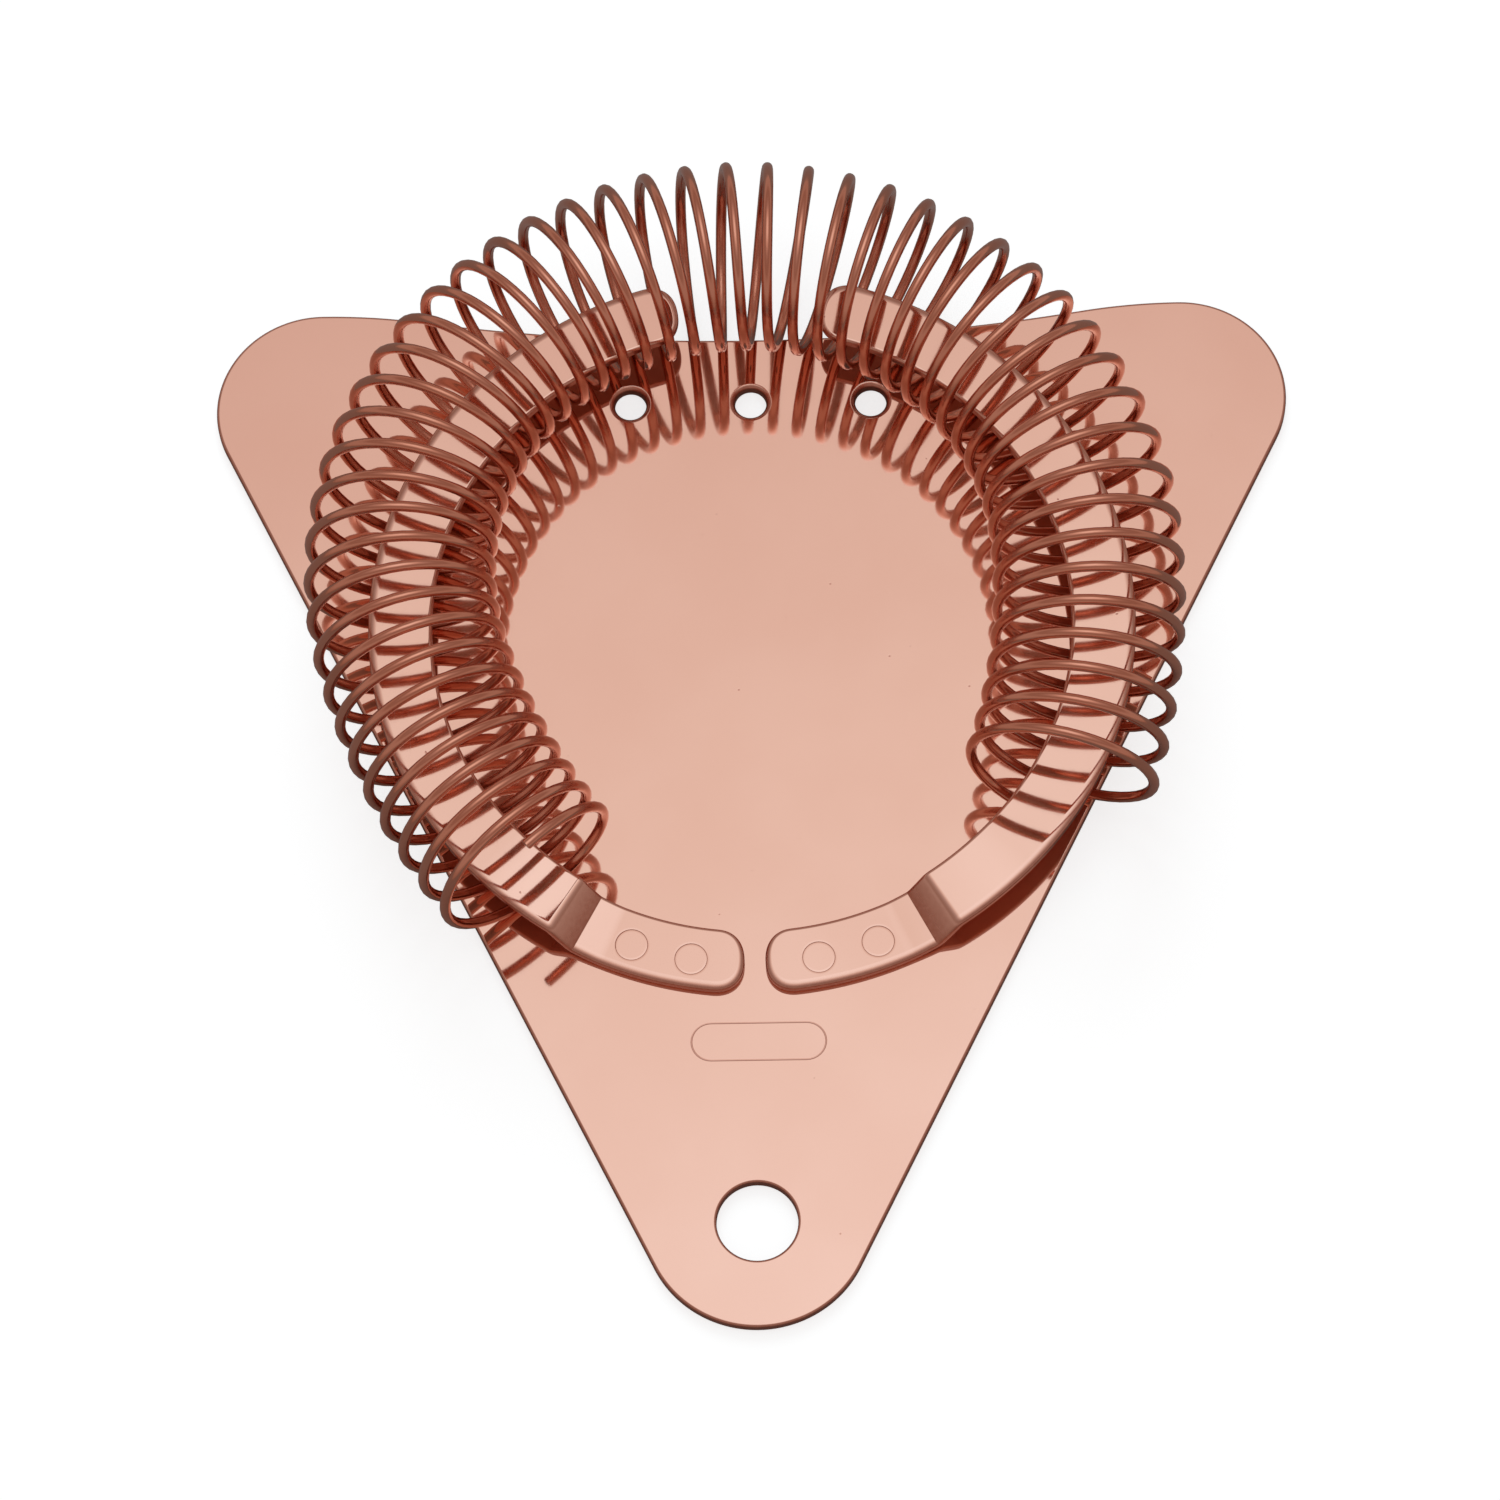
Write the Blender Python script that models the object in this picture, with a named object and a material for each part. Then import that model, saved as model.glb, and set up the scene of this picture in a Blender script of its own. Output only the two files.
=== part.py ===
"""Hawthorne strainer: a flat plate, two curved arms riveted to it, and a coil spring threaded on the arms.

Units are metres. The origin is the centre of the arms' circle, on the plate's underside. +X points to the
right wing, +Y to the pouring edge and -Y to the hanging tail, and +Z out of the side that carries the spring.
"""

import math

import bmesh
import bpy
from mathutils import Matrix, Vector

MM = 0.001

# Plate: a rounded triangle with two wings and a tail, and a shallow hollow along its pouring edge
PLATE_WIDTH = 106.0 * MM
PLATE_THICKNESS = 1.2 * MM
PLATE_EDGE_ROUNDING = 0.25 * MM
WING_RADIUS = 10.35 * MM
WING_CENTRE_Y = 25.4 * MM
TAIL_RADIUS = 10.8 * MM
TAIL_CENTRE_Y = -59.4 * MM
HOLLOW_RADIUS = 205.0 * MM
HOLLOW_Y = 32.3 * MM

# Holes in the plate
HANG_HOLE_RADIUS = 3.8 * MM
HANG_HOLE_Y = -59.8 * MM
HANG_HOLE_CHAMFER = 0.2 * MM
DRAIN_HOLE_RADIUS = 1.55 * MM
DRAIN_HOLE_SPACING = 11.9 * MM
DRAIN_HOLE_Y = 25.4 * MM
DRAIN_HOLE_CHAMFER = 0.5 * MM

# Arms: strips on one circle, with a riveted tab, a joggle and a gently rising run
ARM_RADIUS = 34.1 * MM
ARM_WIDTH = 6.2 * MM
ARM_THICKNESS = 1.0 * MM
ARM_EDGE_ROUNDING = 0.3 * MM
ARM_TIP_ANGLE = 78.0
TAB_GAP = 2.0 * MM

# Bends of an arm: degrees round from +X, the underside's rise over the tab's there, and degrees that the bend
# reaches each way. The second and third are the joggle's foot and crest, and the last entry is the tip.
ARM_BENDS = (
    (-67.0, 0.0 * MM, 1.5),
    (-61.2, 0.3 * MM, 0.75),
    (-57.4, 2.1 * MM, 0.5),
    (-48.0, 2.9 * MM, 4.0),
    (ARM_TIP_ANGLE, 3.9 * MM, 0.0),
)

# Rivets, flush with the tab above and the plate below
RIVET_CIRCLE_RADIUS = 34.4 * MM
RIVET_HEAD_RADIUS = 1.55 * MM
RIVET_SHANK_RADIUS = 1.0 * MM
RIVET_HEAD_DEPTH = 0.5 * MM
RIVET_ANGLES = (10.2, 20.0)

# Spring: a round coil of wire whose centre line is an arc with two straighter ends
WIRE_DIAMETER = 1.05 * MM
COIL_RADIUS = 8.8 * MM
COIL_TURNS = 49.46
COIL_START_PHASE = 252.0
COIL_FIRST_PITCH = 3.48 * MM
COIL_LAST_PITCH = 3.11 * MM
COIL_POINTS_PER_TURN = 14
RING_RADIUS = 33.1 * MM
RING_OFFSET = 3.6 * MM
RING_HALF_ANGLE = 96.0
RING_END_RADIUS = 64.0 * MM
SPRING_REST_TURN = 10.0

# Clearances
RESTING_GAP = 0.1 * MM
RIVET_GAP = 0.15 * MM
SPRING_GAP = 0.2 * MM

COPPER_PLATE = (0.93, 0.60, 0.49, 1.0)
COPPER_WIRE = (0.85, 0.48, 0.37, 1.0)


def clear_scene():
    for item in list(bpy.data.objects):
        bpy.data.objects.remove(item, do_unlink=True)


def polar(radius, degrees, centre=(0.0, 0.0)):
    turn = math.radians(degrees)
    return centre[0] + radius * math.cos(turn), centre[1] + radius * math.sin(turn)


def arc(centre, radius, start, end, steps):
    """Points from one angle to another round a centre, in degrees, both ends included."""
    return [polar(radius, start + (end - start) * i / steps, centre) for i in range(steps + 1)]


def polished_metal(name, colour, roughness):
    material = bpy.data.materials.new(name)
    material.use_nodes = True
    shader = material.node_tree.nodes["Principled BSDF"]
    shader.inputs["Base Color"].default_value = colour
    shader.inputs["Metallic"].default_value = 1.0
    shader.inputs["Roughness"].default_value = roughness
    return material


def add_object(name, data, material, parent=None):
    item = bpy.data.objects.new(name, data)
    item.parent = parent
    bpy.context.scene.collection.objects.link(item)
    if material:
        data.materials.clear()
        data.materials.append(material)
    return item


def mesh_from(bm, name):
    mesh = bpy.data.meshes.new(name)
    bm.to_mesh(mesh)
    bm.free()
    mesh.shade_smooth()
    mesh.set_sharp_from_angle(angle=math.radians(30.0))
    return mesh


def round_edges(item, width):
    bevel = item.modifiers.new("rounded_edges", "BEVEL")
    bevel.width = width
    bevel.segments = 2
    bevel.limit_method = "ANGLE"
    bevel.angle_limit = math.radians(50.0)


def cut_with(item, collection):
    cut = item.modifiers.new(collection.name, "BOOLEAN")
    cut.operation = "DIFFERENCE"
    cut.solver = "EXACT"
    cut.operand_type = "COLLECTION"
    cut.collection = collection


def turned_mesh(name, profile, sides):
    """A solid of revolution about Z, from (radius, height) pairs listed from the bottom up."""
    bm = bmesh.new()
    rings = []
    for radius, height in profile:
        place = Matrix.Translation((0.0, 0.0, height))
        rings.append(bmesh.ops.create_circle(bm, segments=sides, radius=radius, matrix=place)["verts"])
    for lower, upper in zip(rings, rings[1:]):
        for i in range(sides):
            j = (i + 1) % sides
            bm.faces.new((lower[i], lower[j], upper[j], upper[i]))
    bm.faces.new(rings[-1])
    bm.faces.new(reversed(rings[0]))
    bmesh.ops.recalc_face_normals(bm, faces=bm.faces)
    return mesh_from(bm, name)


def add_cutter(name, mesh, place, collection):
    cutter = bpy.data.objects.new(name, mesh)
    cutter.location = place
    cutter.hide_render = True
    cutter.display_type = "WIRE"
    collection.objects.link(cutter)


def new_collection(name):
    collection = bpy.data.collections.new(name)
    bpy.context.scene.collection.children.link(collection)
    return collection


def right_half_outline():
    """The plate's outline from the tail's lowest point round to the middle of the pouring edge."""
    wing = (PLATE_WIDTH / 2 - WING_RADIUS, WING_CENTRE_Y)
    tail = (0.0, TAIL_CENTRE_Y)
    run = Vector(wing) - Vector(tail)
    side_normal = math.degrees(
        math.atan2(run.y, run.x) - math.acos((TAIL_RADIUS - WING_RADIUS) / run.length)
    )
    # The shoulder's arc touches the wing at its top and the hollow's arc further in.
    rise = wing[1] + WING_RADIUS - HOLLOW_Y
    both_radii = (wing[0] ** 2 + rise**2) / (2 * rise)
    shoulder_radius = both_radii - HOLLOW_RADIUS
    shoulder = (wing[0], wing[1] + WING_RADIUS - shoulder_radius)
    hollow = (0.0, HOLLOW_Y + HOLLOW_RADIUS)
    meeting = math.degrees(math.atan2(hollow[1] - shoulder[1], hollow[0] - shoulder[0]))
    points = arc(tail, TAIL_RADIUS, -90.0, side_normal, 10)
    points += arc(wing, WING_RADIUS, side_normal, 90.0, 16)
    points += arc(shoulder, shoulder_radius, 90.0, meeting, 4)[1:]
    points += arc(hollow, HOLLOW_RADIUS, meeting + 180.0, 270.0, 5)[1:]
    return points


def plate_mesh():
    right = right_half_outline()
    left = [(-x, y) for x, y in reversed(right[1:-1])]
    bm = bmesh.new()
    floor = bm.faces.new([bm.verts.new((x, y, 0.0)) for x, y in right + left])
    grown = bmesh.ops.extrude_face_region(bm, geom=[floor], use_keep_orig=True)["geom"]
    top = [item for item in grown if isinstance(item, bmesh.types.BMVert)]
    bmesh.ops.translate(bm, verts=top, vec=(0.0, 0.0, PLATE_THICKNESS))
    bmesh.ops.recalc_face_normals(bm, faces=bm.faces)
    # A line across the tail keeps its seat for a glass's rim a face of its own, clear of the tabs.
    everything = bm.verts[:] + bm.edges[:] + bm.faces[:]
    line = (0.0, -ARM_RADIUS - ARM_WIDTH, 0.0)
    bmesh.ops.bisect_plane(bm, geom=everything, plane_co=line, plane_no=(0.0, 1.0, 0.0))
    return mesh_from(bm, "strainer_plate")


def through_hole_mesh(name, radius, chamfer, sides):
    """A hole's cutter, flared at both faces of the plate so that the edges come out broken."""
    over = 0.3 * MM
    top = PLATE_THICKNESS
    profile = (
        (radius + chamfer + over, -over),
        (radius, chamfer),
        (radius, top - chamfer),
        (radius + chamfer + over, top + over),
    )
    return turned_mesh(name, profile, sides)


def rivet_profile(top, gap, over):
    """A rivet's profile with a countersunk head at each end, or its hole's with a gap and an overrun."""
    head = RIVET_HEAD_RADIUS + gap
    shank = RIVET_SHANK_RADIUS + gap
    low = RESTING_GAP / 4
    high = top - RESTING_GAP / 4
    return (
        (head + over, low - over),
        (shank, low + RIVET_HEAD_DEPTH),
        (shank, high - RIVET_HEAD_DEPTH),
        (head + over, high + over),
    )


def tab_top():
    return PLATE_THICKNESS + RESTING_GAP + ARM_THICKNESS


def rivet_places():
    """Each rivet's name and place, from the left arm's far rivet to the right arm's."""
    places = []
    for side_name, side in (("left", -1), ("right", 1)):
        for place_name, angle in zip(("inner", "outer"), RIVET_ANGLES):
            x, y = polar(RIVET_CIRCLE_RADIUS, -90.0 + side * angle)
            places.append((f"{side_name}_{place_name}_rivet", Vector((x, y, 0.0))))
    return places


def add_cutters():
    """The holes' cutters, in one collection for the plate's own and one for the rivets'."""
    plate_holes = new_collection("plate_holes")
    drain = through_hole_mesh("drain_hole", DRAIN_HOLE_RADIUS, DRAIN_HOLE_CHAMFER, 20)
    hang = through_hole_mesh("hang_hole", HANG_HOLE_RADIUS, HANG_HOLE_CHAMFER, 32)
    for step in (-1, 0, 1):
        place = (step * DRAIN_HOLE_SPACING, DRAIN_HOLE_Y, 0.0)
        add_cutter("drain_hole", drain, place, plate_holes)
    add_cutter("hang_hole", hang, (0.0, HANG_HOLE_Y, 0.0), plate_holes)
    rivet_holes = new_collection("rivet_holes")
    rivet_hole = turned_mesh("rivet_hole", rivet_profile(tab_top(), RIVET_GAP, 0.3 * MM), 16)
    for name, place in rivet_places():
        add_cutter(name + "_hole", rivet_hole, place, rivet_holes)
    return plate_holes, rivet_holes


def add_plate(parent, plate_holes, rivet_holes):
    copper = polished_metal("plate_copper", COPPER_PLATE, 0.1)
    plate = add_object("strainer_plate", plate_mesh(), copper, parent)
    round_edges(plate, PLATE_EDGE_ROUNDING)
    cut_with(plate, plate_holes)
    cut_with(plate, rivet_holes)


def bend(turn, reach):
    """A line at 0 that bends into one of slope 1 at 0, the bend reaching this far each way."""
    if abs(turn) < reach:
        return (turn + reach) ** 2 / (4 * reach)
    return max(turn, 0.0)


def arm_underside(angle):
    """Height of an arm's underside where it is this many degrees round from +X towards +Y."""
    height = PLATE_THICKNESS + RESTING_GAP
    slope = 0.0
    for (start, low, reach), (end, high, _) in zip(ARM_BENDS, ARM_BENDS[1:]):
        steeper = (high - low) / (end - start) - slope
        height += steeper * bend(angle - start, reach)
        slope += steeper
    return height


def arm_stations():
    """The angles along an arm, with the strip's half width at each, narrowing to a point at both ends."""
    half = ARM_WIDTH / 2
    bend_steps = 4
    spacing = 4.0
    end_steps = 8
    half_in_degrees = math.degrees(half / ARM_RADIUS)
    start = -90.0 + math.degrees(TAB_GAP / 2 / ARM_RADIUS)
    first_full = start + half_in_degrees
    last_full = ARM_TIP_ANGLE - half_in_degrees
    stations = []
    for i in range(end_steps):
        turn = math.radians(90.0 * i / end_steps)
        stations.append((first_full - half_in_degrees * math.cos(turn), half * math.sin(turn)))
    marks = [first_full]
    for angle, _, reach in ARM_BENDS[:-1]:
        marks += [angle - reach, angle + reach]
    marks.append(last_full)
    for i, (begin, finish) in enumerate(zip(marks, marks[1:])):
        steps = bend_steps if i % 2 else math.ceil((finish - begin) / spacing)
        stations += [(begin + (finish - begin) * k / steps, half) for k in range(steps)]
    for i in range(end_steps + 1):
        turn = math.radians(90.0 * (1 - i / end_steps))
        stations.append((last_full + half_in_degrees * math.cos(turn), half * math.sin(turn)))
    return stations


def arm_mesh(name, side):
    """The underside of an arm, on the right (side 1) or mirrored to the left (side -1)."""
    bm = bmesh.new()
    rows = []
    for angle, half in arm_stations():
        height = arm_underside(angle)
        offsets = (-half, half) if half > 0.01 * MM else (0.0,)
        row = []
        for offset in offsets:
            x, y = polar(ARM_RADIUS + offset, angle)
            row.append(bm.verts.new((side * x, y, height)))
        rows.append(row)
    for row, ahead in zip(rows, rows[1:]):
        corners = row + list(reversed(ahead))
        bm.faces.new(corners if side > 0 else list(reversed(corners)))
    return mesh_from(bm, name)


def add_arm(name, side, parent, rivet_holes):
    copper = polished_metal(name + "_copper", COPPER_PLATE, 0.1)
    arm = add_object(name, arm_mesh(name, side), copper, parent)
    thicken = arm.modifiers.new("strip_thickness", "SOLIDIFY")
    thicken.thickness = ARM_THICKNESS
    thicken.offset = 1.0
    thicken.use_even_offset = True
    round_edges(arm, ARM_EDGE_ROUNDING)
    cut_with(arm, rivet_holes)


def add_rivets(parent):
    copper = polished_metal("rivet_copper", COPPER_PLATE, 0.15)
    mesh = turned_mesh("rivet", rivet_profile(tab_top(), 0.0, 0.0), 16)
    for name, place in rivet_places():
        rivet = add_object(name, mesh, copper, parent)
        rivet.location = place


def ring_point(distance):
    """Place and direction (degrees) on the coil's centre line, this far along it from its middle."""
    arc_length = RING_RADIUS * math.radians(RING_HALF_ANGLE)
    if abs(distance) <= arc_length:
        angle = 90.0 + math.degrees(distance / RING_RADIUS)
        return Vector(polar(RING_RADIUS, angle, (0.0, RING_OFFSET))), angle
    end = 90.0 + math.copysign(RING_HALF_ANGLE, distance)
    beyond = math.copysign(abs(distance) - arc_length, distance)
    angle = end + math.degrees(beyond / RING_END_RADIUS)
    centre = polar(RING_RADIUS - RING_END_RADIUS, end, (0.0, RING_OFFSET))
    return Vector(polar(RING_END_RADIUS, angle, centre)), angle


def coil_point(turn):
    """A point on the wire's centre line, this many turns from the right end."""
    spread = (COIL_LAST_PITCH - COIL_FIRST_PITCH) / (2 * COIL_TURNS)
    length = COIL_TURNS * (COIL_FIRST_PITCH + COIL_LAST_PITCH) / 2
    centre, direction = ring_point(COIL_FIRST_PITCH * turn + spread * turn**2 - length / 2)
    phase = math.radians(COIL_START_PHASE - 360.0 * turn)
    x, y = polar(COIL_RADIUS * math.cos(phase), direction, centre)
    rest_height = PLATE_THICKNESS + SPRING_GAP + WIRE_DIAMETER / 2 + COIL_RADIUS
    return Vector((x, y, rest_height + COIL_RADIUS * math.sin(phase)))


def add_spring(parent):
    """The coil, turning about the arms' axis, with its left end against the left joggle."""
    steps = round(COIL_TURNS * COIL_POINTS_PER_TURN)
    curve = bpy.data.curves.new("coil_spring", "CURVE")
    curve.dimensions = "3D"
    curve.fill_mode = "FULL"
    curve.bevel_depth = WIRE_DIAMETER / 2
    curve.bevel_resolution = 1
    curve.use_fill_caps = True
    wire = curve.splines.new("POLY")
    wire.points.add(steps)
    for i, point in enumerate(wire.points):
        point.co = coil_point(COIL_TURNS * i / steps).to_4d()
    spring = add_object("coil_spring", curve, polished_metal("wire_copper", COPPER_WIRE, 0.15), parent)
    spring.rotation_euler.z = math.radians(SPRING_REST_TURN)


def main():
    clear_scene()
    frame = add_object("strainer_frame", None, None)
    plate_holes, rivet_holes = add_cutters()
    add_plate(frame, plate_holes, rivet_holes)
    add_arm("left_arm", -1, frame, rivet_holes)
    add_arm("right_arm", 1, frame, rivet_holes)
    add_rivets(frame)
    add_spring(frame)


main()
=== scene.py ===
"""Looks of the hawthorne strainer: polished copper-plated plate, arms and rivets, and a coil of plated wire.

Everything is in metres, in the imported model's frame: +Y is the pouring edge, -Y the tail and +Z the spring's
side.
"""

import math

import bpy
import numpy as np
from mathutils import Matrix, Vector
from mathutils.geometry import tessellate_polygon


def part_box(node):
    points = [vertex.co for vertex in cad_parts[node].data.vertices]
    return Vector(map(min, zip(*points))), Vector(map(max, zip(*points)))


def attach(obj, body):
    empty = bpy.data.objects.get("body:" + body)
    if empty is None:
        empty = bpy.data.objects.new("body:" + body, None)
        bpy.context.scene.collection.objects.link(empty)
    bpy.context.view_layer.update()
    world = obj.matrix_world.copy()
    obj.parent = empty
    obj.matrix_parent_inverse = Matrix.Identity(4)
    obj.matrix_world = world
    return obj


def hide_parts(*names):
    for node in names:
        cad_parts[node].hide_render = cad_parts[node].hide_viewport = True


MM = 0.001

# Plate
PLATE_EDGE_ROUNDING = 0.3 * MM
WING_RADIUS = 10.35 * MM
WING_CENTRE_Y = 25.4 * MM
TAIL_RADIUS = 10.8 * MM
TAIL_CENTRE_Y = -59.4 * MM
HOLLOW_RADIUS = 205.0 * MM
HOLLOW_Y = 32.3 * MM
HANG_HOLE_RADIUS = 3.85 * MM
HANG_HOLE_ROUNDING = 0.27 * MM
HANG_HOLE_Y = -59.8 * MM
DRAIN_HOLE_RADIUS = 1.55 * MM
DRAIN_HOLE_ROUNDING = 0.55 * MM
DRAIN_HOLE_SPACING = 11.9 * MM
DRAIN_HOLE_Y = 25.4 * MM
HOLE_FOOT_ROUNDING = 0.15 * MM
HOLE_SIDES = 72
STAMP_CENTRE = (0.28 * MM, -41.9 * MM)
STAMP_LENGTH = 12.8 * MM
STAMP_WIDTH = 3.75 * MM
STAMP_LINE_WIDTH = 0.22 * MM
STAMP_LINE_DEPTH = 0.022 * MM
# Painted shade in the stamped groove: the share of the dark edge brown at the line's middle
STAMP_PAINTED_SHADE = 0.3

# Arms: the crown is the rounding of the top edges, and the inner edge has only a share of its width
ARM_RADIUS = 34.1 * MM
ARM_WIDTH = 6.2 * MM
ARM_CROWN_WIDTH = 0.85 * MM
ARM_CROWN_DROP = 0.36 * MM
ARM_FOOT_ROUNDING = 0.2 * MM
ARM_INNER_CROWN_SHARE = 0.45
ARM_THICKNESS = 1.0 * MM
ARM_TIP_ANGLE = 78.0
TAB_GAP = 2.0 * MM
END_LENGTH = 2.9 * MM
END_SQUARENESS = 2.3

# Bends of an arm: degrees round from +X, the underside's rise over the tab's there, and degrees that the bend
# reaches each way. The second and third are the joggle's foot and crest, and the last entry is the tip.
ARM_BENDS = (
    (-66.0, 0.0 * MM, 1.0),
    (-61.2, 0.3 * MM, 0.75),
    (-57.7, 2.45 * MM, 0.3),
    (-48.0, 2.9 * MM, 4.0),
    (ARM_TIP_ANGLE, 3.9 * MM, 0.0),
)

# Painted shade on the joggle's ramp, in the dark brown of the edges: degrees round from +X, and the share of
# that shade there
JOGGLE_PAINTED_SHADE_ANGLES = (-62.0, -61.3, -57.9, -57.5)
JOGGLE_PAINTED_SHADE = (0.0, 1.0, 0.45, 0.0)

# Closely spaced stations go on this many degrees past the crest
CREST_MARGIN = 2.0

# Rivets
RIVET_ANGLES = (10.2, 20.0)
RIVET_CIRCLE_RADIUS = 34.4 * MM
RIVET_HEAD_RADIUS = 1.55 * MM
RIVET_SHANK_RADIUS = 1.0 * MM
RIVET_HEAD_DEPTH = 0.5 * MM
RIVET_GAP = 0.009 * MM
RIVET_LIP_WIDTH = 0.24 * MM
RIVET_LIP_DROP = 0.014 * MM
RIVET_SIDES = 64
UNDERSIDE_RIVET_HOLE_SIDES = 48
SHANK_HOLE_EDGE = 0.02 * MM

# Spring
WIRE_DIAMETER = 1.05 * MM
COIL_TURNS = 49.46
COIL_START_PHASE = 252.0
COIL_FIRST_PITCH = 3.48 * MM
COIL_LAST_PITCH = 3.11 * MM
RING_RADIUS = 33.1 * MM
RING_OFFSET = 3.6 * MM
RING_HALF_ANGLE = 96.0
RING_END_RADIUS = 64.0 * MM
SPRING_REST_TURN = 10.0
POINTS_PER_TURN = 44
WIRE_SIDES = 16

# A cut end of the wire: how far in, and the share of the wire's radius there
WIRE_END = ((0.0, 0.8), (0.05 * MM, 0.95), (0.12 * MM, 1.0))

# Plating: two tones of the mirror finish and how rough it is, then the dark brown of worn edges, also painted
# shade on side walls, the joggle's ramp and the stamped groove, then duller undersides, painted light that
# keeps them lighter than the side walls, and how much rougher each of those is
MIRROR_COPPERS = ((0.93, 0.585, 0.475, 1.0), (0.955, 0.615, 0.505, 1.0))
MIRROR_ROUGHNESS = 0.045
WORN_AND_SHADED_COPPER = (0.52, 0.2, 0.135, 1.0)
WORN_ROUGHNESS = 0.3
DULL_AND_PAINTED_LIGHT_COPPER = (0.87, 0.44, 0.32, 1.0)
DULL_ROUGHNESS = 0.25

# Plated wire: two tones and how rough each is, and how much rougher its drawn lines are
WIRE_COPPERS = ((0.81, 0.385, 0.275, 1.0), (0.75, 0.33, 0.225, 1.0))
WIRE_ROUGHNESSES = (0.1, 0.17)
WIRE_LINE_ROUGHNESS = 0.05

# Floor: its tone, the light that it adds of its own so that it reads as white, and its tone in reflections
FLOOR_REACH = 4.0
FLOOR_DROP = 0.02 * MM
FLOOR_TONE = (0.45, 0.54, 0.58, 1.0)
FLOOR_ROUGHNESS = 0.9
FLOOR_GLOW = 0.75
FLOOR_REFLECTED_TONE = (0.35, 0.35, 0.35, 1.0)

# Studio: the way to its brightest part, and how bright it is by the cosine of the angle from there
SKY_AXIS = (0.035, 0.14, 1.0)
SKY_LEVELS = (
    (0.0, (0.34, 0.24, 0.20)),
    (0.15, (0.43, 0.335, 0.30)),
    (0.42, (0.43, 0.335, 0.30)),
    (0.56, (0.32, 0.22, 0.185)),
    (0.75, (0.34, 0.25, 0.22)),
    (0.866, (0.45, 0.36, 0.335)),
    (0.934, (0.67, 0.56, 0.52)),
    (0.967, (0.82, 0.775, 0.745)),
    (0.985, (0.93, 0.945, 0.955)),
    (1.0, (0.99, 1.03, 1.05)),
)

# Lamp, a disk that points at the origin
LAMP_PLACE = (-0.1, 0.95, 0.75)
LAMP_DIAMETER = 0.8
LAMP_ENERGY = 4.0

# Camera: the distance is from the target, and tilt, azimuth and roll are in degrees
CAMERA_TARGET = (-0.33 * MM, -11.95 * MM, 1.2 * MM)
CAMERA_DISTANCE = 600.0 * MM
CAMERA_TILT = 22.675
CAMERA_AZIMUTH = 2.766
CAMERA_ROLL = -3.457
CAMERA_LENS = 148.83
CAMERA_SENSOR = 36.0
CAMERA_NEAREST = 10.0 * MM


def polar(radius, degrees, centre=(0.0, 0.0)):
    turn = math.radians(degrees)
    return centre[0] + radius * math.cos(turn), centre[1] + radius * math.sin(turn)


class Shell:
    """One closed piece's vertices, with their normals and their share of edge wear and painted shade, and its
    faces, gathered loop by loop.
    """

    def __init__(self):
        self.places = []
        self.normals = []
        self.wear_and_shade = []
        self.faces = []

    def loop(self, places, normals, wear_and_shade=0.0):
        start = len(self.places)
        self.places.extend(tuple(place) for place in places)
        self.normals.extend(tuple(normal) for normal in normals)
        self.wear_and_shade.extend(np.broadcast_to(wear_and_shade, len(places)).tolist())
        return list(range(start, len(self.places)))

    def band(self, lower, upper):
        """Faces between two closed loops, outward where the loops run anticlockwise round the outside."""
        for i in range(len(lower)):
            j = (i + 1) % len(lower)
            self.faces.append((lower[i], lower[j], upper[j], upper[i]))

    def bands(self, loops):
        for lower, upper in zip(loops, loops[1:]):
            self.band(lower, upper)

    def fill(self, boundary, holes, up):
        """A flat face inside a boundary and outside the holes, facing up or down."""
        rings = [boundary] + holes
        order = [index for ring in rings for index in ring]
        polygons = [[Vector(self.places[index]) for index in ring] for ring in rings]
        for polygon in polygons:
            for point in polygon:
                point.z = 0.0
        for triangle in tessellate_polygon(polygons):
            a, b, c = (order[k] for k in triangle)
            pa, pb, pc = (self.places[k] for k in (a, b, c))
            area = (pb[0] - pa[0]) * (pc[1] - pa[1]) - (pb[1] - pa[1]) * (pc[0] - pa[0])
            if (area > 0) != up:
                b, c = c, b
            self.faces.append((a, b, c))

    def piece(self, name, material):
        mesh = bpy.data.meshes.new(name)
        mesh.from_pydata(self.places, [], self.faces)
        mesh.materials.append(material)
        mesh.shade_smooth()
        mesh.normals_split_custom_set_from_vertices(self.normals)
        mesh.attributes.new("edge_wear_and_shade", "FLOAT", "POINT").data.foreach_set("value", self.wear_and_shade)
        item = bpy.data.objects.new(name, mesh)
        bpy.context.scene.collection.objects.link(item)
        return item


def quarter(steps):
    """Angles from 0 to 90 degrees, in radians."""
    return [math.radians(90.0 * i / steps) for i in range(steps + 1)]


def rounded(width, drop, turn):
    """A point on a rounded edge this wide and deep: its inset, drop, outward share and upward share.

    The turn is 0 at the side wall and a quarter of a circle at the top.
    """
    c, s = math.cos(turn), math.sin(turn)
    steepness = math.hypot(c / width, s / drop)
    return width * (1 - c), drop * (1 - s), c / width / steepness, s / drop / steepness


def rim_profile(low, high, foot_rounding, crown_width, crown_drop, steps=8):
    """An outer rim's (inset, height, outward share, upward share) from the underside to the top."""
    rows = []
    for turn in reversed(quarter(steps)):
        inset, drop, outward, upward = rounded(foot_rounding, foot_rounding, turn)
        rows.append((inset, low + drop, outward, -upward))
    for turn in quarter(steps):
        inset, drop, outward, upward = rounded(crown_width, crown_drop, turn)
        rows.append((inset, high - drop, outward, upward))
    return rows


def wear_and_shade_at(outward, upward):
    """Edge wear and painted shade: 1 on side walls, fading out over the rounding of a top edge, and reaching 2
    on undersides, where the duller copper with painted light takes over.
    """
    return min(1.0, 1.25 * outward) if upward > 0 else 1.0 + abs(upward)


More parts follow.
